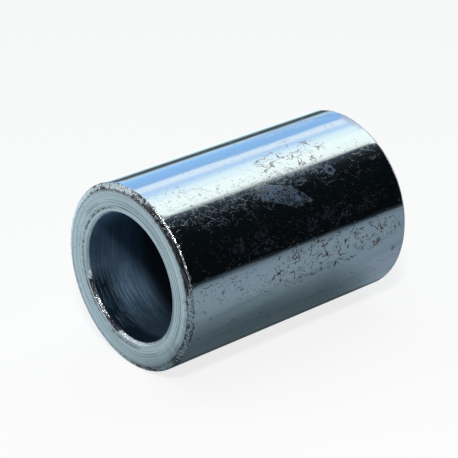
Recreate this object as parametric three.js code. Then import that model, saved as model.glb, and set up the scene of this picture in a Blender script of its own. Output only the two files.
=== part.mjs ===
// Plain rigid sleeve: a short length of thick-walled steel tube, faced square at both ends,
// with its outer edges broken by a shallow chamfer and its bore edges by a small one. It is
// turned from one piece and has no screws, keyway, thread or cross hole.
// Millimetres, +Z up. The sleeve lies on its side: its axis is Y, the front face looks along -Y
// and the origin is the middle of the axis.
import * as THREE from "three";

// Driving dimensions.
const OUTER_DIAMETER = 32;
const BORE_DIAMETER = 22;
const LENGTH = 48;

// Edge breaks. Depth runs along the axis and width runs across the end face.
const FRONT_EDGE_DEPTH = 0.45;
const FRONT_EDGE_WIDTH = 1.05;
const BACK_EDGE_DEPTH = 0.8;
const BACK_EDGE_WIDTH = 0.75;
const BORE_EDGE_DEPTH = 0.55;
const BORE_EDGE_WIDTH = 0.4;

// Flats round the circle, a multiple of four so that the sleeve rests on one of them.
const FLATS = 96;

// Zinc plate over steel.
const ZINC_COLOUR = new THREE.Color(0.6, 0.64, 0.67);
const ZINC_ROUGHNESS = 0.28;
const ZINC_METALNESS = 1;

// Closed section of the wall, as (radius, place along the axis), walked so that the lathed
// faces look outwards: up the bore from the front, over the back face, down the outside.
function wallSection() {
  const outer = OUTER_DIAMETER / 2;
  const bore = BORE_DIAMETER / 2;
  const front = -LENGTH / 2;
  const back = LENGTH / 2;
  return [
    new THREE.Vector2(outer - FRONT_EDGE_WIDTH, front),
    new THREE.Vector2(outer, front + FRONT_EDGE_DEPTH),
    new THREE.Vector2(outer, back - BACK_EDGE_DEPTH),
    new THREE.Vector2(outer - BACK_EDGE_WIDTH, back),
    new THREE.Vector2(bore + BORE_EDGE_WIDTH, back),
    new THREE.Vector2(bore, back - BORE_EDGE_DEPTH),
    new THREE.Vector2(bore, front + BORE_EDGE_DEPTH),
    new THREE.Vector2(bore + BORE_EDGE_WIDTH, front),
    new THREE.Vector2(outer - FRONT_EDGE_WIDTH, front),
  ];
}

// The lathe turns the section about Y. Its corners lie on circles a little larger than the
// nominal ones and half a flat round, so that the flats themselves touch the nominal circles:
// the sleeve is exactly its diameter across the flats and a shaft of the bore's size clears.
function sleeveGeometry() {
  const halfFlat = Math.PI / FLATS;
  const section = wallSection();
  for (const point of section) point.x /= Math.cos(halfFlat);
  return new THREE.LatheGeometry(section, FLATS, halfFlat);
}

const zincPlate = new THREE.MeshStandardMaterial({
  color: ZINC_COLOUR,
  roughness: ZINC_ROUGHNESS,
  metalness: ZINC_METALNESS,
});

const sleeve = new THREE.Mesh(sleeveGeometry(), zincPlate);
sleeve.name = "sleeve";

const coupling = new THREE.Group();
coupling.add(sleeve);

export default coupling;
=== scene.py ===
import math

import bmesh
import bpy
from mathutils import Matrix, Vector, noise


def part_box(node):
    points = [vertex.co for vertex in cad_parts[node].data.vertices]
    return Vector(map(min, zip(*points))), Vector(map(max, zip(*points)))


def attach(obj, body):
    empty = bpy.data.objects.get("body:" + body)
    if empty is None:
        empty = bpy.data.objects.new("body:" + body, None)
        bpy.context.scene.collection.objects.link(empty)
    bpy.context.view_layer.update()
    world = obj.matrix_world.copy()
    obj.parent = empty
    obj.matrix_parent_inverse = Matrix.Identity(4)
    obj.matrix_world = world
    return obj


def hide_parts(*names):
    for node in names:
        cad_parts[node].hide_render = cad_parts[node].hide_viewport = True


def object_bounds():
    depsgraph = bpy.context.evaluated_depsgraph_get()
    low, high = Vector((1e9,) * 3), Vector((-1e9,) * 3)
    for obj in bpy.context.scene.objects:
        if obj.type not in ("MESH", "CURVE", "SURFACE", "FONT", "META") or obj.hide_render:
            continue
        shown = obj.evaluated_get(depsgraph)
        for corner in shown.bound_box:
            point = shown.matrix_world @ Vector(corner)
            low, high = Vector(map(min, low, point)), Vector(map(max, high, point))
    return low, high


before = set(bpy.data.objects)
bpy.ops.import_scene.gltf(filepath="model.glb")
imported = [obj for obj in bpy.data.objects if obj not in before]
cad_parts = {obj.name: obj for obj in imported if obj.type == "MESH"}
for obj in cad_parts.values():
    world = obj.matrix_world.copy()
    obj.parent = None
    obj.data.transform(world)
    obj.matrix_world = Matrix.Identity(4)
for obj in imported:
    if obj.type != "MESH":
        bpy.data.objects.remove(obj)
cad_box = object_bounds()

# ---------------------------------------------------------------------------------------------
# Camera: a long lens a forearm away, above and to the right of the front end, so that the
# front face, the bore and the whole outside wall show. It looks a little past the middle.
MM = 0.001
CAMERA_AZIMUTH = math.radians(49.14)
CAMERA_ELEVATION = math.radians(25.74)
CAMERA_DISTANCE = 320.1 * MM
CAMERA_LENS = 149.3
LOOK_OFFSET = Vector((-1.58, -1.04, 1.08)) * MM

middle = (cad_box[0] + cad_box[1]) / 2
towards_camera = Vector((
    math.sin(CAMERA_AZIMUTH) * math.cos(CAMERA_ELEVATION),
    -math.cos(CAMERA_AZIMUTH) * math.cos(CAMERA_ELEVATION),
    math.sin(CAMERA_ELEVATION),
))
camera = bpy.data.objects.new("camera", bpy.data.cameras.new("camera"))
camera.data.lens = CAMERA_LENS
camera.data.clip_start = 10 * MM
camera.data.clip_end = 20.0
camera.location = middle + LOOK_OFFSET + towards_camera * CAMERA_DISTANCE
camera.rotation_euler = towards_camera.to_track_quat("Z", "Y").to_euler()
bpy.context.scene.collection.objects.link(camera)
bpy.context.scene.camera = camera

# ---------------------------------------------------------------------------------------------
# Sleeve, the body: drawn steel tube with a 5 mm wall, sawn off, faced square at both ends in a
# lathe and bored. The facing tool leaves a fine spiral on each end, and handling in the plating
# barrel leaves the outer edges nicked. This section makes its shape.
BORE_RADIUS = 11 * MM
FRONT_EDGE_DEPTH = 0.45 * MM
FRONT_EDGE_WIDTH = 1.05 * MM
BACK_EDGE_DEPTH = 0.8 * MM
BACK_EDGE_WIDTH = 0.75 * MM
BORE_EDGE_DEPTH = 0.55 * MM
BORE_EDGE_WIDTH = 0.4 * MM
CORNER_ROUNDING = 0.09 * MM
FRONT_ROUNDING = 0.24 * MM
TURN_STEPS = 400
SAME_PLACE = 1e-7
NEAR_PLACE = 1e-6
SAME_TURN = 1e-4

low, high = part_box("sleeve")
outer_radius = (high.x - low.x) / 2
front, back = low.y, high.y


def section_corners():
    """The wall's corners as (radius, place along the axis), from the front face round."""
    return [
        (outer_radius - FRONT_EDGE_WIDTH, front),
        (outer_radius, front + FRONT_EDGE_DEPTH),
        (outer_radius, back - BACK_EDGE_DEPTH),
        (outer_radius - BACK_EDGE_WIDTH, back),
        (BORE_RADIUS + BORE_EDGE_WIDTH, back),
        (BORE_RADIUS, back - BORE_EDGE_DEPTH),
        (BORE_RADIUS, front + BORE_EDGE_DEPTH),
        (BORE_RADIUS + BORE_EDGE_WIDTH, front),
    ]


def radius_of(point):
    return math.hypot(point.x, point.z)


def corner_circles(ring):
    """The ring's edges that run round the axis."""
    return [e for e in ring.edges if abs(e.verts[0].co.y - e.verts[1].co.y) < SAME_PLACE
            and abs(radius_of(e.verts[0].co) - radius_of(e.verts[1].co)) < SAME_PLACE]


def on_corner(edge, corner):
    """Whether an edge that runs round the axis lies on this corner of the section."""
    radius, along = corner
    end = edge.verts[0].co
    return abs(end.y - along) < NEAR_PLACE and abs(radius_of(end) - radius) < NEAR_PLACE


def turned_ring(corners):
    """A ring turned about Y from a closed section, with its eight corner circles rounded. The
    corner between the front edge and the wall is the most worn and is rounded more."""
    ring = bmesh.new()
    points = [ring.verts.new((radius, along, 0)) for radius, along in corners]
    lines = [ring.edges.new((a, b)) for a, b in zip(points, points[1:] + points[:1])]
    bmesh.ops.spin(ring, geom=points + lines, cent=(0, 0, 0), axis=(0, 1, 0),
                   angle=math.tau, steps=TURN_STEPS, use_merge=True)
    sharp = [e for e in corner_circles(ring) if not on_corner(e, corners[1])]
    bmesh.ops.bevel(ring, geom=sharp, offset=CORNER_ROUNDING, segments=2, profile=0.5,
                    affect="EDGES", material=-1)
    worn = [e for e in corner_circles(ring) if on_corner(e, corners[1])]
    bmesh.ops.bevel(ring, geom=worn, offset=FRONT_ROUNDING, segments=5, profile=0.5,
                    affect="EDGES", material=-1)
    return ring


def cut_band(ring, pitch, belongs):
    """Cuts rings into the band whose crosswise edges pass belongs(middle), about pitch apart."""
    across = []
    for edge in ring.edges:
        a, b = (v.co for v in edge.verts)
        turned = abs(math.atan2(a.x * b.z - a.z * b.x, a.x * b.x + a.z * b.z))
        if turned < SAME_TURN and edge.calc_length() > pitch and belongs((a + b) / 2):
            across.append(edge)
    cuts = round(across[0].calc_length() / pitch) - 1
    bmesh.ops.subdivide_edges(ring, edges=across, cuts=cuts, use_grid_fill=True)


WALL_PITCH = 1.6 * MM
FACE_PITCH = 0.078 * MM
EDGE_PITCH = 0.17 * MM
LONG_PART = 20 * MM
FACE_LAYER = 0.01 * MM
EDGE_FROM = 0.02 * MM
EDGE_TO = 0.9 * MM
FRONT_STRIP = 0.95 * MM
BACK_STRIP = 1.1 * MM

ring = turned_ring(section_corners())
wall_middle = (outer_radius + BORE_RADIUS) / 2
cut_band(ring, WALL_PITCH, lambda p: abs(p.y) < LONG_PART)
for end in (front, back):
    cut_band(ring, FACE_PITCH, lambda p: abs(p.y - end) < FACE_LAYER)
    cut_band(ring, EDGE_PITCH,
             lambda p: EDGE_FROM < abs(p.y - end) < EDGE_TO and radius_of(p) > wall_middle)
# A narrow strip beside each rounded corner keeps the wall's long faces true right up to it.
for place in (front + FRONT_STRIP, back - BACK_STRIP):
    bmesh.ops.bisect_plane(ring, geom=ring.verts[:] + ring.edges[:] + ring.faces[:],
                           dist=SAME_PLACE,
                           plane_co=(0, place, 0), plane_no=(0, 1, 0))

# The facing tool's spiral: a groove every 0.3 mm or so, deepest in a band nearer the bore. The
# broken edges outside it are knocked in here and there.
GROOVE_PITCH = 0.31 * MM
GROOVE_DEPTH = 0.012 * MM
STRONG_RADIUS = 12.95 * MM
STRONG_HALF_WIDTH = 0.75 * MM
GROOVE_SHALLOW = 0.45
GROOVE_STRONG = 2.2
SWIRL_ROUND = 1.4
SWIRL_ACROSS = 900
SWIRL_ENDS_APART = 80
NICK_DEPTH = 0.07 * MM
COARSE_NICKS = 1300
FINE_NICKS = 3100
NICK_ENDS_APART = 400
ON_FACE = 0.001 * MM


def groove_depth(radius, turn, end):
    """How far the facing tool cut below the end face at this radius and angle."""
    swirl = noise.noise(Vector((math.sin(turn) * SWIRL_ROUND, math.cos(turn) * SWIRL_ROUND,
                                radius * SWIRL_ACROSS + end * SWIRL_ENDS_APART)))
    wave = 0.5 + 0.5 * math.cos(math.tau * (radius / GROOVE_PITCH + turn / math.tau + 0.25 * swirl))
    strong = math.exp(-((radius - STRONG_RADIUS) / STRONG_HALF_WIDTH) ** 2)
    return GROOVE_DEPTH * wave * (GROOVE_SHALLOW + GROOVE_STRONG * strong) * (1.0 + 0.7 * swirl)


def nick_depth(place, end):
    """How far the broken edge is knocked in at this point: mostly not at all."""
    coarse = noise.noise(place * COARSE_NICKS + Vector((0, end * NICK_ENDS_APART, 3)))
    fine = noise.noise(place * FINE_NICKS)
    return NICK_DEPTH * (max(0.0, coarse - 0.15) + max(0.0, fine - 0.1))


for vertex in ring.verts:
    place = vertex.co
    radius = radius_of(place)
    turn = math.atan2(place.x, place.z)
    end = front if place.y < 0 else back
    inwards = Vector((0, -math.copysign(1, end), 0))
    off_face = abs(place.y - end)
    if off_face < ON_FACE:
        vertex.co = place + inwards * groove_depth(radius, turn, end)
    elif off_face < EDGE_TO and radius > wall_middle:
        slope = (inwards - Vector((place.x, 0, place.z)).normalized()).normalized()
        vertex.co = place + slope * nick_depth(place, end)

bmesh.ops.recalc_face_normals(ring, faces=ring.faces)

# Each face wears the finish of its part of the sleeve: wall, end faces, broken edges or bore. A
# lip is how far the finish of an end face, the wall or the bore reaches round its corner.
FACE_LIP = 0.04 * MM
WALL_LIP = 0.008 * MM
BORE_LIP = 0.03 * MM
WALL, END_FACE, EDGE, BORE = range(4)
for face in ring.faces:
    face.smooth = True
    place = face.calc_center_median()
    radius = radius_of(place)
    off_face = min(place.y - front, back - place.y)
    if off_face < FACE_LIP:
        face.material_index = END_FACE
    elif radius > wall_middle:
        worn_part = off_face < EDGE_TO and radius < outer_radius - WALL_LIP
        face.material_index = EDGE if worn_part else WALL
    else:
        face.material_index = EDGE if off_face < BORE_EDGE_DEPTH - BORE_LIP else BORE

sleeve = bpy.data.objects.new("sleeve_body", bpy.data.meshes.new("sleeve_body"))
ring.to_mesh(sleeve.data)
ring.free()
bpy.context.scene.collection.objects.link(sleeve)
print("sleeve", len(sleeve.data.polygons), "faces")

# ---------------------------------------------------------------------------------------------
# Outside wall, the finish: bright zinc plate, a mirror a few microns thick over the tube's faint
# drawing lines. Handling has left it covered in short bent scratches and lint-like stains, dull
# and rough where they lie, thickest where the sleeves rubbed together.
ZINC = (0.70, 0.745, 0.77, 1)
ZINC_ROUGHNESS = 0.05
PINK_BLOOM = (0.82, 0.68, 0.80, 1)
STREAK_GREEN = (0.50, 0.60, 0.62, 1)
STAIN_BROWN = (0.200, 0.135, 0.105, 1)
# The pale stain's blue is partly a painted sheen of the sky's light.
STAIN_PALE_SHEEN = (0.150, 0.220, 0.335, 1)
SPOT_DULL = (0.60, 0.56, 0.59, 1)
WALL_MM = outer_radius / MM
RUB_TIP = (14.9, 5.0, 0)
RUB_LEAN = math.radians(27)
RUB_HALF_WIDTH = 1.7
RUB_LENGTH = 13.0
RING_CENTRE = (10.8, 10.8, 0)
RING_RADIUS = 0.75
GOUGE_ARC = -1.4
GOUGE_MIDDLE = 20.2
GOUGE_BENT_FROM = 18.0
GOUGE_BEND = 0.05
# Soft ovals on the wall: turn in degrees, place along, half turn, half length and, in the lists,
# strength.
FELT = [(40, -12, 10, 14, 0.8), (35, 2, 7, 9, 1.0), (42, 9, 7, 4, 0.5)]
LOW_FELT = [(65, 9, 6, 11, 1.0), (63, -10, 8, 6, 1.0)]
RUBBED = [(23, -17, 11, 7, 1.0), (30, -3, 6, 13, 1.0), (62, 0, 13, 28, 1.0),
          (42, 15, 12, 9, 0.55), (84, -15, 9, 6, 1.0), (94, -4, 6, 8, 1.0)]
CRAZED = [(21, 6, 11, 9, 1.0), (86, 7, 12, 17, 1.0)]
ROUND_STAINS = [(41, 20.4, 1.6, 1.0, 1.0), (91, 16.8, 2.6, 0.8, 1.0), (96, 2.0, 1.6, 0.5, 1.0),
                (101, 20.8, 2.4, 0.4, 1.0), (83, 18.6, 1.4, 0.4, 1.0), (87, -13.6, 1.2, 0.35, 1.0)]
SMEAR = (-5, 13, 4, 12)
BLOOM = (117, 21.5, 16, 5)
DULL_SPOT = (9, 23.2, 12, 1.7)
# Layers of hair-like marks: cell, reach, bend, width and seed, in the order that hairs takes them.
FINE_SCRATCHES = [(0.42, 0.2, 2.0, 0.045, 3.1), (0.62, 0.32, 1.6, 0.045, 11.7)]
LONG_SCRATCHES = [(1.2, 0.65, 1.0, 0.05, 27.3), (2.3, 1.3, 0.5, 0.05, 41.9)]
FIBRES = [(1.2, 0.8, 1.1, 0.045, 53.1), (1.9, 1.2, 0.7, 0.045, 67.9),
          (2.2, 1.4, 0.5, 0.05, 83.7), (3.0, 1.9, 0.35, 0.05, 71.3)]
CRAZE_CELLS = [(0.5, 0.22, 0), (0.8, 0.3, 0)]


def feed(tree, socket, value):
    """Links a node's output to an input, or sets the input's own value."""
    if isinstance(value, bpy.types.NodeSocket):
        tree.links.new(value, socket)
    else:
        socket.default_value = value


def maths(tree, operation, *values):
    node = tree.nodes.new("ShaderNodeMath")
    node.operation = operation
    for socket, value in zip(node.inputs, values):
        feed(tree, socket, value)
    return node.outputs["Value"]


def vector_maths(tree, operation, *values):
    node = tree.nodes.new("ShaderNodeVectorMath")
    node.operation = operation
    for socket, value in zip(node.inputs, values):
        feed(tree, socket, value)
    return node.outputs["Value" if operation == "LENGTH" else "Vector"]


def times(tree, value, other):
    return maths(tree, "MULTIPLY", value, other)


def apart(tree, value, other):
    """How far one number is from the other."""
    return maths(tree, "ABSOLUTE", maths(tree, "SUBTRACT", value, other))


def scaled(tree, vector, amounts):
    return vector_maths(tree, "MULTIPLY", vector, amounts)


def parts_of(tree, vector):
    node = tree.nodes.new("ShaderNodeSeparateXYZ")
    tree.links.new(vector, node.inputs[0])
    return node.outputs


def joined(tree, x, y, z=0.0):
    node = tree.nodes.new("ShaderNodeCombineXYZ")
    for socket, value in zip(node.inputs, (x, y, z)):
        feed(tree, socket, value)
    return node.outputs[0]


def fade(tree, value, start, end):
    """0 at start and 1 at end, smooth between them and flat beyond."""
    node = tree.nodes.new("ShaderNodeMapRange")
    node.interpolation_type = "SMOOTHSTEP"
    feed(tree, node.inputs["Value"], value)
    feed(tree, node.inputs["From Min"], start)
    feed(tree, node.inputs["From Max"], end)
    return node.outputs["Result"]


def between(tree, share, low_value, high_value):
    """Goes from one number to another as share goes from 0 to 1."""
    return maths(tree, "MULTIPLY_ADD", share, high_value - low_value, low_value)


def tinted(tree, share, colour, other):
    node = tree.nodes.new("ShaderNodeMix")
    node.data_type = "RGBA"
    factor, first, second, mixed = node.inputs[0], node.inputs[6], node.inputs[7], node.outputs[2]
    for socket, value in ((factor, share), (first, colour), (second, other)):
        feed(tree, socket, value)
    return mixed


def cloud(tree, vector, scale, detail=2.0, roughness=0.5):
    node = tree.nodes.new("ShaderNodeTexNoise")
    feed(tree, node.inputs["Vector"], vector)
    node.inputs["Scale"].default_value = scale
    node.inputs["Detail"].default_value = detail
    node.inputs["Roughness"].default_value = roughness
    return node.outputs


def bumped(tree, height, distance):
    node = tree.nodes.new("ShaderNodeBump")
    node.inputs["Distance"].default_value = distance
    feed(tree, node.inputs["Height"], height)
    return node.outputs[0]


def most(tree, first, *others):
    for other in others:
        first = maths(tree, "MAXIMUM", first, other)
    return first


def place_of(tree):
    """The place on the object in millimetres."""
    return scaled(tree, tree.nodes.new("ShaderNodeTexCoord").outputs["Object"],
                  (1 / MM, 1 / MM, 1 / MM))


def metal(name):
    """A new material on the sleeve, with its tree, its shader and its place in millimetres."""
    material = bpy.data.materials.new(name)
    material.use_nodes = True
    tree = material.node_tree
    shader = tree.nodes["Principled BSDF"]
    shader.inputs["Base Color"].default_value = ZINC
    shader.inputs["Metallic"].default_value = 1.0
    sleeve.data.materials.append(material)
    return tree, shader, place_of(tree)


def turn_of(tree, place):
    """The angle round the axis in radians, from the top towards +X."""
    x, _, z = parts_of(tree, place)
    return maths(tree, "ARCTAN2", x, z)


def cells_of(tree, vector, feature="F1"):
    node = tree.nodes.new("ShaderNodeTexVoronoi")
    node.voronoi_dimensions = "2D"
    node.feature = feature
    node.inputs["Scale"].default_value = 1.0
    tree.links.new(vector, node.inputs["Vector"])
    return node.outputs


def hairs(tree, sheet, share, cell, reach, bend, width, seed, spread=math.tau):
    """Short bent scratches on a flat sheet in millimetres, at most one to each cell of a loose
    grid: 1 on a scratch and 0 off it. share is the part of the cells that hold one, reach half
    its length, bend its curvature, width its half width and spread the fan of their angles."""
    grid = vector_maths(tree, "MULTIPLY_ADD", sheet, (1 / cell, 1 / cell, 0), (seed, 1.7 * seed, 0))
    nearest = cells_of(tree, grid)["Position"]
    toss = tree.nodes.new("ShaderNodeTexWhiteNoise")
    toss.noise_dimensions = "2D"
    tree.links.new(nearest, toss.inputs["Vector"])
    size_toss, bend_toss, keep_toss = parts_of(tree, toss.outputs["Color"])
    local = scaled(tree, vector_maths(tree, "SUBTRACT", grid, nearest), (cell, cell, 0))
    turned = tree.nodes.new("ShaderNodeVectorRotate")
    turned.rotation_type = "Z_AXIS"
    tree.links.new(local, turned.inputs["Vector"])
    angle = between(tree, toss.outputs["Value"], -spread / 2, spread / 2)
    tree.links.new(angle, turned.inputs["Angle"])
    lengthwise, across, _ = parts_of(tree, turned.outputs[0])
    bow = times(tree, between(tree, bend_toss, -bend, bend), times(tree, lengthwise, lengthwise))
    off_line = apart(tree, across, bow)
    end = between(tree, size_toss, 0.35 * reach, reach)
    past_end = maths(tree, "DIVIDE", maths(tree, "ABSOLUTE", lengthwise), end)
    drawn = times(tree, fade(tree, off_line, width, 0.4 * width), fade(tree, past_end, 1.0, 0.8))
    kept = fade(tree, maths(tree, "SUBTRACT", share, keep_toss), -0.02, 0.02)
    return times(tree, drawn, kept)


def patch(tree, sheet, turn_degrees, along, half_turn_degrees, half_length):
    """A soft oval on the unrolled wall, 1 in its middle. Lengths are in millimetres."""
    half_width = math.radians(half_turn_degrees) * WALL_MM
    centre = (math.radians(turn_degrees) * WALL_MM, along, 0)
    offset = scaled(tree, vector_maths(tree, "SUBTRACT", sheet, centre),
                    (1 / half_width, 1 / half_length, 0))
    return fade(tree, vector_maths(tree, "LENGTH", offset), 1.25, 0.45)


def patches(tree, sheet, ovals):
    return most(tree, *[times(tree, patch(tree, sheet, *oval), strength)
                        for *oval, strength in ovals])


def layered(tree, sheet, share, layers):
    """Hair-like marks of several sizes over one another."""
    return most(tree, *[hairs(tree, sheet, share, *layer) for layer in layers])


def wandering(tree, sheet, scale, detail, reach):
    """The sheet with every place on it moved by a cloud, so that what follows it curls."""
    moved = cloud(tree, sheet, scale, detail)["Color"]
    return vector_maths(tree, "MULTIPLY_ADD", moved, (reach, reach, 0), sheet)


tree, shader, place = metal("bright_wall")
arc = times(tree, turn_of(tree, place), WALL_MM)
along = parts_of(tree, place)[1]
flat_sheet = joined(tree, arc, along)
wander = vector_maths(tree, "SUBTRACT", cloud(tree, flat_sheet, 1.3, 3.0)["Color"], (0.5, 0.5, 0.5))
sheet = vector_maths(tree, "MULTIPLY_ADD", wander, (1.1, 1.1, 0), flat_sheet)
combed = scaled(tree, sheet, (1.0, 0.42, 0))

# Where the marks are thick, and how much they clump there.
felt = patches(tree, sheet, FELT)
low_felt = patches(tree, sheet, LOW_FELT)
rubbed = patches(tree, sheet, RUBBED)
crazed = patches(tree, sheet, CRAZED)
drift = cloud(tree, flat_sheet, 0.16, 3.0, 0.6)["Fac"]
clump = fade(tree, cloud(tree, flat_sheet, 0.5, 3.0, 0.65)["Fac"], 0.40, 0.60)
few = times(tree, fade(tree, drift, 0.42, 0.68), 0.3)
thick = most(tree, times(tree, felt, 0.25), times(tree, rubbed, 0.75), times(tree, crazed, 0.16))
thick = times(tree, thick, between(tree, clump, 0.3, 1.15))
fine_share = most(tree, few, thick)
long_share = times(tree, fine_share, 0.45)
scratches = most(tree, layered(tree, combed, fine_share, FINE_SCRATCHES),
                 layered(tree, combed, long_share, LONG_SCRATCHES))
faintness = fade(tree, cloud(tree, flat_sheet, 1.4, 3.0, 0.7)["Fac"], 0.34, 0.64)
scratches = times(tree, scratches, between(tree, faintness, 0.3, 1.0))

# Crazing: stains that creep along the edges of cells one or two millimetres wide and twice as long.
creep = wandering(tree, flat_sheet, 0.5, 2.0, 4)
seams = []
for cell_scale in CRAZE_CELLS:
    to_edge = cells_of(tree, scaled(tree, creep, cell_scale), "DISTANCE_TO_EDGE")["Distance"]
    seams.append(fade(tree, to_edge, 0.075 * cell_scale[0], 0.02 * cell_scale[0]))
seam_runs = fade(tree, cloud(tree, flat_sheet, 0.6, 2.0)["Fac"], 0.42, 0.50)
seam = times(tree, most(tree, *seams), times(tree, seam_runs, fade(tree, crazed, 0.2, 0.6)))

# Felt: wisps of three sizes that curl over one another, with nearly bare gaps between them.
curl_place = wandering(tree, flat_sheet, 0.5, 1.0, 4)
wisps = []
for wisp_scale, wisp_width in ((0.55, 0.022), (0.95, 0.03), (1.7, 0.04)):
    curl = apart(tree, cloud(tree, curl_place, wisp_scale, 1.0)["Fac"], 0.5)
    wisps.append(fade(tree, curl, wisp_width, 0.2 * wisp_width))
gaps = fade(tree, cloud(tree, flat_sheet, 0.75, 2.0, 0.6)["Fac"], 0.38, 0.58)
wispy = most(tree, wisps[0], times(tree, wisps[1], 0.85), times(tree, wisps[2], 0.6))
felted = times(tree, times(tree, wispy, felt), between(tree, gaps, 0.10, 0.60))

# Fibres: longer bent scratches that lie tangled in the felt.
fibre_share = times(tree, most(tree, felt, low_felt), between(tree, clump, 0.2, 1.5))
fibres = layered(tree, sheet, fibre_share, FIBRES)
low_tufts = times(tree, times(tree, low_felt, clump), most(tree, *wisps))
fibres = most(tree, fibres, times(tree, low_tufts, 0.6))

# Two rubs on the camera's side: a leaf-shaped one full of curls, and a small ring.
rub_place = tree.nodes.new("ShaderNodeVectorRotate")
rub_place.rotation_type = "Z_AXIS"
rub_place.inputs["Center"].default_value = RUB_TIP
rub_place.inputs["Angle"].default_value = RUB_LEAN
tree.links.new(vector_maths(tree, "MULTIPLY_ADD", wander, (0.6, 0.6, 0), flat_sheet),
               rub_place.inputs["Vector"])
from_tip = vector_maths(tree, "SUBTRACT", rub_place.outputs[0], RUB_TIP)
across, lengthwise, _ = parts_of(tree, from_tip)
rub_ragged = cloud(tree, flat_sheet, 0.8, 3.0, 0.6)["Fac"]
half_width = maths(tree, "MINIMUM", times(tree, lengthwise, -0.5), RUB_HALF_WIDTH)
half_width = times(tree, half_width, between(tree, rub_ragged, 0.5, 1.5))
rub = fade(tree, maths(tree, "SUBTRACT", maths(tree, "ABSOLUTE", across), half_width), 0.15, -0.35)
rub = times(tree, rub, fade(tree, lengthwise, -RUB_LENGTH, -8.0))
strand = cloud(tree, scaled(tree, rub_place.outputs[0], (1.5, 0.8, 0)), 1.5, 2.0)["Fac"]
strand = fade(tree, apart(tree, strand, 0.5), 0.05, 0.015)
rub_edge = fade(tree, apart(tree, maths(tree, "ABSOLUTE", across), half_width), 0.3, 0.1)
rub_edge = times(tree, rub_edge, 0.7)
rub = times(tree, rub, between(tree, most(tree, wisps[0], wisps[1], strand, rub_edge), 0.24, 1.0))
rub = times(tree, rub, between(tree, fade(tree, rub_ragged, 0.4, 0.6), 0.6, 1.0))
ring_mark = vector_maths(tree, "LENGTH", vector_maths(tree, "SUBTRACT", sheet, RING_CENTRE))
ring_mark = apart(tree, ring_mark, RING_RADIUS)
ring_mark = times(tree, fade(tree, ring_mark, 0.4, 0.05), between(tree, wispy, 0.6, 1.0))
# One deeper scratch near the back end, a little bent.
past_bend = maths(tree, "SUBTRACT", along, GOUGE_BENT_FROM)
gouge_line = maths(tree, "MULTIPLY_ADD", times(tree, past_bend, past_bend), GOUGE_BEND, GOUGE_ARC)
gouge = times(tree, fade(tree, apart(tree, arc, gouge_line), 0.14, 0.05),
              fade(tree, apart(tree, along, GOUGE_MIDDLE), 2.4, 1.4))
# A few round stains, most of them low on the camera's side.
stains = times(tree, patches(tree, sheet, ROUND_STAINS), between(tree, faintness, 0.3, 0.8))
marks = most(tree, scratches, seam, felted, fibres, rub, ring_mark, gouge, stains)

# The marks are slighter on the top, a little below the felt and low on the camera's side.
slight_top = times(tree, fade(tree, arc, 9.9, 8.9), 0.4)
slight_below = times(tree, fade(tree, arc, 14.4, 15.6), fade(tree, arc, 20.6, 20.0))
slight_low = times(tree, fade(tree, arc, 20.0, 21.0), 0.15)
slight = most(tree, slight_top, times(tree, slight_below, 0.35), slight_low)
marks = times(tree, marks, between(tree, slight, 1.0, 0.0))

# The tube's drawing lines: long shallow waves in the wall, with finer ones on them.
wave_place = joined(tree, times(tree, arc, 0.9), times(tree, along, 0.05))
waves = cloud(tree, wave_place, 1.0, 2.0)["Fac"]
line_place = joined(tree, times(tree, arc, 5.0), times(tree, along, 0.11))
drawn_lines = cloud(tree, line_place, 1.0, 3.0)["Fac"]
haze = fade(tree, cloud(tree, flat_sheet, 0.35, 4.0, 0.6)["Fac"], 0.45, 0.75)
smear = times(tree, patch(tree, sheet, *SMEAR), fade(tree, drawn_lines, 0.35, 0.6))
haze = most(tree, times(tree, haze, 0.25), times(tree, felt, 0.2), smear)
# Scratches, crazing and stains are brown; what was rubbed on, the felt and fibres, is pale.
# Their pale blue is partly painted sheen: the sky's light that rough marks scatter.
pale_sheen_marks = most(tree, felted, fibres, rub, ring_mark)
stain = tinted(tree, fade(tree, pale_sheen_marks, 0.02, 0.2), STAIN_BROWN, STAIN_PALE_SHEEN)
# A faint pink bloom of the passivation low down near the back end.
bloom = times(tree, patch(tree, sheet, *BLOOM), fade(tree, drift, 0.40, 0.55))
plate = tinted(tree, times(tree, bloom, 0.8), ZINC, PINK_BLOOM)
# A dull, faintly pink spot worn on the top at the back end.
dull_spot = patch(tree, sheet, *DULL_SPOT)
plate = tinted(tree, dull_spot, plate, SPOT_DULL)
# Drier streaks, a little darker and greener, run along the underside.
streak_place = joined(tree, maths(tree, "MULTIPLY_ADD", along, 0.05, times(tree, arc, 0.7)),
                      times(tree, along, 0.05))
streaks = fade(tree, cloud(tree, streak_place, 1.0, 3.0)["Fac"], 0.46, 0.66)
streaks = times(tree, streaks, fade(tree, arc, 24.0, 27.0))
plate = tinted(tree, times(tree, streaks, 0.6), plate, STREAK_GREEN)
feed(tree, shader.inputs["Base Color"], tinted(tree, fade(tree, marks, 0.0, 0.8), plate, stain))
dullness = maths(tree, "MULTIPLY_ADD", rub, 0.12, between(tree, haze, ZINC_ROUGHNESS, 0.2))
dullness = maths(tree, "MULTIPLY_ADD", most(tree, smear, dull_spot), 0.2, dullness)
feed(tree, shader.inputs["Roughness"], maths(tree, "MULTIPLY_ADD", marks, 0.5, dullness))
height = maths(tree, "MULTIPLY_ADD", drawn_lines, 0.2, times(tree, marks, 0.4))
height = maths(tree, "MULTIPLY_ADD", waves, 1.6, height)
feed(tree, shader.inputs["Normal"], bumped(tree, height, 0.01 * MM))

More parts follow.
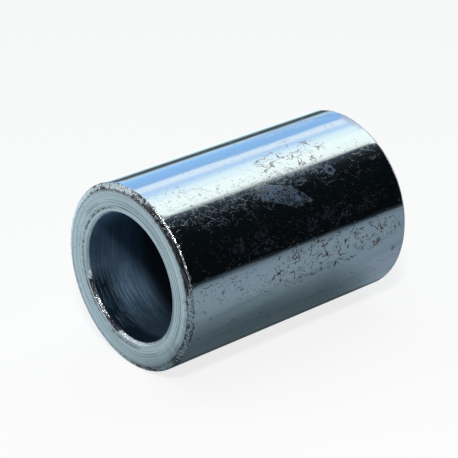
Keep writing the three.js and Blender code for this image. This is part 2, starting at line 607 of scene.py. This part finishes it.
# ---------------------------------------------------------------------------------------------
# End faces, the finish: the same plating on a turned surface, so it is matt and grey, ringed by
# the facing tool, with a few pits and a ragged brown line where the burrs were taken off.
FACE_PALE = (0.66, 0.70, 0.70, 1)
FACE_DULL = (0.46, 0.50, 0.51, 1)
BURR_BROWN = (0.060, 0.052, 0.050, 1)
RIM_BURR_RADIUS = 14.91
BORE_BURR_RADIUS = 11.95
DEEP_TURNS_RADIUS = 12.9
DEEP_TURNS_PITCH = 0.46
PITS = (0.9, 0.17, 0.5, 0.1, 5.0)


def wrapped(tree, turn, reach, along):
    """A place for noise that closes on itself round the axis: reach sets how fast it changes."""
    return joined(tree, times(tree, maths(tree, "COSINE", turn), reach),
                  times(tree, maths(tree, "SINE", turn), reach), along)


def towards(tree, x, z, radius, degrees):
    """1 on the side that faces this angle from the top towards +X, and -1 on the far side."""
    angle = math.radians(degrees)
    along_it = maths(tree, "MULTIPLY_ADD", x, math.sin(angle), times(tree, z, math.cos(angle)))
    return maths(tree, "DIVIDE", along_it, radius)


tree, shader, place = metal("turned_face")
turn = turn_of(tree, place)
x, _, z = parts_of(tree, place)
face_sheet = joined(tree, x, z)
radius = vector_maths(tree, "LENGTH", face_sheet)
rings = cloud(tree, wrapped(tree, turn, 0.35, times(tree, radius, 4.0)), 1.0, 3.0, 0.65)["Fac"]
mottle = cloud(tree, place, 1.1, 3.0)["Fac"]
grain = cloud(tree, place, 6.0, 2.0)["Fac"]
# Where the tool dragged: thin dark arcs, strongest nearer the bore.
drag = cloud(tree, wrapped(tree, turn, 0.2, times(tree, radius, 1.7)), 1.0, 2.0)["Fac"]
drag = fade(tree, apart(tree, drag, 0.5), 0.03, 0.008)
drag = times(tree, drag, fade(tree, cloud(tree, place, 0.12, 1.0)["Fac"], 0.38, 0.56))
drag = times(tree, drag, fade(tree, radius, 14.2, 13.0))
# The deepest turns of the spiral, which show as a few dark rings on the upper right and below.
# The grooves are real; darkening them only on those sides is painted shade of how the light falls.
turn_phase = maths(tree, "MULTIPLY_ADD", radius, math.tau / DEEP_TURNS_PITCH,
                   times(tree, mottle, 1.6))
turn_depth = maths(tree, "COSINE", turn_phase)
deep_turns_painted_dark = times(tree, fade(tree, turn_depth, 0.62, 0.92),
                   fade(tree, apart(tree, radius, DEEP_TURNS_RADIUS), 0.75, 0.55))
upper_right = fade(tree, towards(tree, x, z, radius, 45), 0.2, 0.75)
below = times(tree, fade(tree, towards(tree, x, z, radius, 185), 0.6, 0.9), 0.7)
deep_turns_painted_dark = times(tree, deep_turns_painted_dark, most(tree, upper_right, below))
pit_share = between(tree, fade(tree, mottle, 0.45, 0.65), 0.08, 0.5)
pits = hairs(tree, face_sheet, pit_share, *PITS)
# The ragged lines left where the burrs came off: one by the rim and one just outside the bore.
burr_noise = cloud(tree, place, 2.6, 4.0, 0.7)["Fac"]
by_rim = fade(tree, apart(tree, radius, RIM_BURR_RADIUS), 0.22, 0.06)
by_bore = fade(tree, apart(tree, radius, BORE_BURR_RADIUS), 0.28, 0.08)
by_bore = times(tree, by_bore, fade(tree, towards(tree, x, z, radius, 255), -0.3, 0.3))
rim_share = between(tree, fade(tree, towards(tree, x, z, radius, 15), 0.0, 0.8), 0.35, 0.9)
burrs = most(tree, times(tree, by_bore, fade(tree, burr_noise, 0.44, 0.53)),
             times(tree, times(tree, by_rim, rim_share), fade(tree, burr_noise, 0.39, 0.49)))
dark = most(tree, times(tree, pits, 0.8), times(tree, burrs, 0.9),
            times(tree, drag, 0.6), times(tree, deep_turns_painted_dark, 0.75))
plate = tinted(tree, fade(tree, rings, 0.35, 0.65), FACE_DULL, FACE_PALE)
feed(tree, shader.inputs["Base Color"], tinted(tree, dark, plate, BURR_BROWN))
feed(tree, shader.inputs["Roughness"], between(tree, rings, 0.26, 0.42))
height = maths(tree, "ADD", times(tree, rings, 0.9), times(tree, grain, 0.25))
height = maths(tree, "SUBTRACT", height, times(tree, dark, 0.8))
feed(tree, shader.inputs["Normal"], bumped(tree, height, 0.012 * MM))

# ---------------------------------------------------------------------------------------------
# Broken edges, the finish: bright plate over filed and knocked corners, so it glitters and is
# peppered with dark pits that run together here and there.
EDGE_BLACK = (0.008, 0.007, 0.012, 1)
EDGE_BROWN = (0.060, 0.042, 0.040, 1)
EDGE_PINK = (0.70, 0.62, 0.64, 1)

tree, shader, place = metal("broken_edge")
pepper = cloud(tree, place, 2.4, 5.0, 0.75)["Fac"]
lumps = cloud(tree, vector_maths(tree, "ADD", place, (31, 7, 19)), 1.9, 4.0, 0.6)["Fac"]
x, y, z = parts_of(tree, place)
radius = vector_maths(tree, "LENGTH", joined(tree, x, z))
inside = fade(tree, radius, 13.0, 12.0)
outside = fade(tree, inside, 0.6, 0.4)
knocked = maths(tree, "MULTIPLY_ADD", x, 0.010, cloud(tree, place, 0.2, 2.0, 0.6)["Fac"])
clotted = fade(tree, knocked, 0.44, 0.64)
by_face = fade(tree, apart(tree, radius, 15.0), 0.4, 0.05)
by_corner = times(tree, fade(tree, radius, 15.7, 15.9), 0.6)
lowest = fade(tree, towards(tree, x, z, radius, -165), 0.0, 0.7)
uppermost = times(tree, fade(tree, towards(tree, x, z, radius, -5), 0.75, 0.95), outside)
# Black streaks cover the upper right of the outer edge up to its corner: pits, with a painted
# reflection of the dark room laid over them. The lower left of the bore's edge has bruises.
streaks_and_dark_reflection = times(tree, fade(tree, towards(tree, x, z, radius, 50), 0.80, 0.96),
                 fade(tree, radius, 15.9, 15.75))
streaks_and_dark_reflection = times(tree, streaks_and_dark_reflection, outside)
# The bore's edge is pitted thickly on its lower left except where the key light's glint falls: the
# dark beside the glint is partly painted shade that keeps the glint short.
bruises_and_glint_shade = maths(tree, "SUBTRACT", fade(tree, towards(tree, x, z, radius, -138), 0.83, 0.93),
                times(tree, fade(tree, towards(tree, x, z, radius, -137), 0.975, 0.99), 0.34))
# How thick the pits lie: each cause and how much it adds. The bore's edge has the fewest.
pitting = pepper
for cause, amount in ((clotted, 0.10), (most(tree, by_face, by_corner), 0.08), (lowest, 0.06),
                      (uppermost, 0.05), (streaks_and_dark_reflection, 0.2), (times(tree, bruises_and_glint_shade, inside), 0.40),
                      (inside, -0.18)):
    pitting = maths(tree, "MULTIPLY_ADD", cause, amount, pitting)
pitted = fade(tree, pitting, 0.60, 0.67)
# What lies in the pits is streaky round the edge and never quite even.
cover_place = wrapped(tree, turn_of(tree, place), 7.0, times(tree, radius, 6.0))
cover_streaks = cloud(tree, cover_place, 1.0, 3.0, 0.7)["Fac"]
blackened = times(tree, pitted, between(tree, fade(tree, cover_streaks, 0.42, 0.62), 1.0, 0.82))
covering = tinted(tree, most(tree, streaks_and_dark_reflection, inside), EDGE_BROWN, EDGE_BLACK)
plate = tinted(tree, fade(tree, y, 22.0, 23.0), ZINC, EDGE_PINK)
feed(tree, shader.inputs["Base Color"], tinted(tree, blackened, plate, covering))
# The bore's edge is a little smoother than the outer one, and duller on its upper left.
worn_left = times(tree, fade(tree, towards(tree, x, z, radius, -70), 0.5, 0.85), inside)
roughness = maths(tree, "MULTIPLY_ADD", inside, -0.07, between(tree, pitted, 0.2, 0.42))
feed(tree, shader.inputs["Roughness"], maths(tree, "MULTIPLY_ADD", worn_left, 0.25, roughness))
height = maths(tree, "ADD", times(tree, pepper, 0.7), lumps)
feed(tree, shader.inputs["Normal"], bumped(tree, height, 0.14 * MM))

# ---------------------------------------------------------------------------------------------
# Bore, the finish: bored steel with thin, dark, dull plating, since little zinc reaches the
# inside. The boring bar's marks run round it, and long fine scratches run nearly the same way.
BORE_DARK = (0.128, 0.212, 0.305, 1)
BORE_PALE = (0.205, 0.325, 0.455, 1)
BORE_TOP_PAINTED_LIGHT = (0.30, 0.50, 0.68, 1)
BORE_SHADE_DARK = (0.008, 0.024, 0.040, 1)
BORE_DEEP_SHADE = (0.045, 0.055, 0.065, 1)
SCRATCH_PALE = (0.42, 0.54, 0.66, 1)
BORE_MM = BORE_RADIUS / MM
# Cell, reach, bend, width, seed and spread of each layer of scratches.
BORE_SCRATCHES = [(0.7, 0.7, 0.25, 0.03, 5.3, 1.0), (1.0, 1.0, 0.2, 0.035, 19.1, 0.8),
                  (1.6, 1.7, 0.12, 0.035, 33.7, 0.6)]

tree, shader, place = metal("bored_wall")
turn = turn_of(tree, place)
x, along, z = parts_of(tree, place)
from_middle = maths(tree, "ABSOLUTE", along)
mark_place = wrapped(tree, turn, 1.5, times(tree, along, 3.0))
boring_marks = cloud(tree, mark_place, 1.0, 4.0, 0.6)["Fac"]
# Scratches lie on the lower left near each end, left by whatever was pushed through.
handled = fade(tree, cloud(tree, place, 0.2, 2.0)["Fac"], 0.36, 0.52)
handled = times(tree, handled, fade(tree, from_middle, 13.5, 17.5))
handled = times(tree, handled, fade(tree, towards(tree, x, z, BORE_MM, -130), 0.70, 0.92))
scratch_place = joined(tree, times(tree, turn, 0.3 * BORE_MM), along)
nicks = layered(tree, scratch_place, times(tree, handled, 0.8), BORE_SCRATCHES)
# The top is paler: painted light. The lower half of each mouth is darkened as painted shade, and
# it is darker towards the bottom. Far inside, the metal is darkened most, as painted shade.
# Painted shade in the lower half of each mouth, shadowed by the edge above it; the bottom is darker
# too.
mouth = times(tree, fade(tree, from_middle, 18.0, 21.5), fade(tree, z, -2.0, -5.5))
bottom = fade(tree, z, -7.0, -10.7)
mouth_shade_and_low_dark = most(tree, times(tree, mouth, 0.95), times(tree, bottom, 0.5))
# Painted shade far inside the bore, where little light reaches.
deep_shade = times(tree, fade(tree, from_middle, 14.2, 11.0), 0.9)
bore_plate = tinted(tree, fade(tree, boring_marks, 0.4, 0.7), BORE_DARK, BORE_PALE)
bore_plate = tinted(tree, fade(tree, z, 3.0, 9.5), bore_plate, BORE_TOP_PAINTED_LIGHT)
bore_plate = tinted(tree, mouth_shade_and_low_dark, bore_plate, BORE_SHADE_DARK)
bore_plate = tinted(tree, deep_shade, bore_plate, BORE_DEEP_SHADE)
feed(tree, shader.inputs["Base Color"],
     tinted(tree, times(tree, nicks, 0.5), bore_plate, SCRATCH_PALE))
feed(tree, shader.inputs["Roughness"], between(tree, boring_marks, 0.56, 0.64))
height = maths(tree, "ADD", boring_marks, times(tree, nicks, 0.6))
feed(tree, shader.inputs["Normal"], bumped(tree, height, 0.014 * MM))

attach(sleeve, "root")
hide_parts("sleeve")

# ---------------------------------------------------------------------------------------------
# Studio: a plain pale floor under a sky of soft light, white overhead and blue low on the left,
# with a dark room on the camera's side.
FLOOR_RADIUS = 3.0
FLOOR_SEEN = (0.16, 0.155, 0.15, 1)
FLOOR_GLOW = 0.80
FLOOR_LIT = (0.218, 0.268, 0.305, 1)
FLOOR_SHADED = (0.075, 0.108, 0.126, 1)
FLOOR_FAR = (0.03, 0.04, 0.05, 1)
FLOOR_TINT = (0.78, 0.96, 1.03, 1)

floor_mesh = bmesh.new()
bmesh.ops.create_circle(floor_mesh, cap_ends=True, radius=FLOOR_RADIUS, segments=96)
bmesh.ops.translate(floor_mesh, verts=floor_mesh.verts, vec=(0, 0, low.z))
floor = bpy.data.objects.new("floor", bpy.data.meshes.new("floor"))
floor_mesh.to_mesh(floor.data)
floor_mesh.free()
bpy.context.scene.collection.objects.link(floor)
material = bpy.data.materials.new("pale_floor")
material.use_nodes = True
tree = material.node_tree
tree.nodes.clear()


def matt_and_glow(tree, colour, glow, strength):
    """A matt surface that also gives off a little light of its own."""
    matt = tree.nodes.new("ShaderNodeBsdfDiffuse")
    feed(tree, matt.inputs["Color"], colour)
    light = tree.nodes.new("ShaderNodeEmission")
    feed(tree, light.inputs["Color"], glow)
    feed(tree, light.inputs["Strength"], strength)
    both = tree.nodes.new("ShaderNodeAddShader")
    tree.links.new(matt.outputs[0], both.inputs[0])
    tree.links.new(light.outputs[0], both.inputs[1])
    return both.outputs[0]


def by_camera(tree, for_others, for_camera):
    """Shows the camera one shader and every other ray another."""
    either = tree.nodes.new("ShaderNodeMixShader")
    tree.links.new(tree.nodes.new("ShaderNodeLightPath").outputs["Is Camera Ray"], either.inputs[0])
    tree.links.new(for_others, either.inputs[1])
    tree.links.new(for_camera, either.inputs[2])
    return either.outputs[0]


x, y, _ = parts_of(tree, place_of(tree))
# Brightest a hand's breadth to the left and falling away beyond, light in front on the left.
lit_left = maths(tree, "DIVIDE", 125.0, maths(tree, "ADD", maths(tree, "ABSOLUTE", x), 20.0))
lit_left = times(tree, lit_left, fade(tree, x, -30.0, -85.0))
lit_left = times(tree, lit_left, fade(tree, y, -60.0, -25.0))
lit_front = times(tree, fade(tree, y, -18.0, -27.0), fade(tree, x, 14.0, -5.0))
lit_front = times(tree, lit_front, fade(tree, y, -180.0, -80.0))
lit_under = fade(tree, maths(tree, "ABSOLUTE", x), 10.5, 6.5)
lit_end = times(tree, fade(tree, y, 16.0, 30.0), fade(tree, x, 28.0, 18.0))
# Far off on both sides it goes dark.
floor_dark = most(tree, fade(tree, x, 50.0, 420.0),
                  times(tree, fade(tree, x, -280.0, -900.0), 0.8))
glow = most(tree, times(tree, lit_end, 0.07), lit_left, times(tree, lit_front, 0.44),
            times(tree, lit_under, 0.075), 0.03)
glow = times(tree, glow, between(tree, floor_dark, 1.0, 0.0))
# Close by on the right the floor is in the sleeve's own shade, except past its far end.
shade = most(tree, fade(tree, x, 13.0, 38.0), fade(tree, y, 12.0, 28.0), fade(tree, x, 6.0, -10.0))
lit = tinted(tree, shade, FLOOR_SHADED, FLOOR_LIT)
lit = tinted(tree, floor_dark, lit, FLOOR_FAR)
shown = by_camera(tree, matt_and_glow(tree, lit, FLOOR_TINT, glow),
                  matt_and_glow(tree, FLOOR_SEEN, (1, 1, 1, 1), FLOOR_GLOW))
tree.links.new(shown, tree.nodes.new("ShaderNodeOutputMaterial").inputs[0])
floor.data.materials.append(material)

# The sky's colour by the angle round the sleeve's axis, in degrees from overhead towards +X.
SKY = [
    (-95, (0.60, 0.68, 0.70)),
    (-91.5, (0.08, 0.11, 0.10)),
    (-84, (0.08, 0.10, 0.10)),
    (-80, (0.62, 0.80, 0.98)),
    (-75, (0.48, 0.80, 1.15)),
    (-70, (0.36, 0.66, 1.10)),
    (-52, (0.33, 0.60, 1.00)),
    (-48, (0.90, 1.06, 1.22)),
    (-41, (0.92, 1.08, 1.22)),
    (-38, (0.66, 0.86, 1.15)),
    (-33, (0.62, 0.88, 1.18)),
    (-26, (0.98, 1.16, 1.24)),
    (-12, (1.20, 1.32, 1.28)),
    (2.5, (1.15, 1.25, 1.20)),
    (7, (0.060, 0.078, 0.105)),
    (16, (0.014, 0.018, 0.024)),
    (28, (0.004, 0.006, 0.008)),
    (50, (0.003, 0.005, 0.006)),
    (70, (0.003, 0.004, 0.005)),
    (93, (0.003, 0.004, 0.005)),
    (97, (0.08, 0.10, 0.12)),
]
END_LIGHT = (1.08, 1.15, 1.14, 1)
END_LIGHT_FROM = 0.8
ROOM_DARK = (0.05, 0.06, 0.07, 1)
BACKDROP = (0.94, 0.945, 0.95, 1)

world = bpy.data.worlds.new("studio")
bpy.context.scene.world = world
world.use_nodes = True
tree = world.node_tree
tree.nodes.clear()
direction = tree.nodes.new("ShaderNodeTexCoord").outputs["Generated"]
puffs = cloud(tree, direction, 9.0, 3.0)["Fac"]
angle = maths(tree, "MULTIPLY_ADD", turn_of(tree, direction), 0.5 / math.pi, 0.5)
angle = maths(tree, "ADD", angle, times(tree, maths(tree, "SUBTRACT", puffs, 0.5), 0.02))
ramp = tree.nodes.new("ShaderNodeValToRGB")
stops = ramp.color_ramp.elements
stops.remove(stops[1])
for index, (degrees, colour) in enumerate(SKY):
    stop = stops.new(0.5 + degrees / 360) if index else stops[0]
    stop.position = 0.5 + degrees / 360
    stop.color = (*colour, 1)
tree.links.new(angle, ramp.inputs[0])
# Plain soft light beyond the two ends of the sleeve, which only the end faces and edges look at.
across, lengthwise, _ = parts_of(tree, direction)
behind = times(tree, fade(tree, lengthwise, END_LIGHT_FROM, 1.0), 0.35)
forward = fade(tree, lengthwise, 0.1, -0.35)
ahead = times(tree, forward, fade(tree, across, -0.1, -0.5))
dark_ahead = maths(tree, "SUBTRACT", forward, ahead)
sky_colour = tinted(tree, most(tree, behind, ahead), ramp.outputs[0], END_LIGHT)
sky_colour = tinted(tree, dark_ahead, sky_colour, ROOM_DARK)
sky = tree.nodes.new("ShaderNodeBackground")
tree.links.new(sky_colour, sky.inputs["Color"])
backdrop = tree.nodes.new("ShaderNodeBackground")
backdrop.inputs["Color"].default_value = BACKDROP
shown = by_camera(tree, sky.outputs[0], backdrop.outputs[0])
tree.links.new(shown, tree.nodes.new("ShaderNodeOutputWorld").inputs[0])

# Key light: a round soft box high behind the camera's right shoulder. It reaches the bore's near
# end, sparkles on the broken edges and lays the soft shadow.
KEY_DIRECTION = Vector((0.508, -0.465, 0.725))
KEY_DISTANCE = 0.6
KEY_SIZE = 0.08
KEY_POWER = 2.9

key = bpy.data.objects.new("key_light", bpy.data.lights.new("key_light", "AREA"))
key.data.shape = "DISK"
key.data.size = KEY_SIZE
key.data.energy = KEY_POWER
key.location = middle + KEY_DIRECTION * KEY_DISTANCE
key.rotation_euler = KEY_DIRECTION.to_track_quat("Z", "Y").to_euler()
key.visible_camera = False
bpy.context.scene.collection.objects.link(key)

bpy.context.scene.view_settings.view_transform = "Standard"
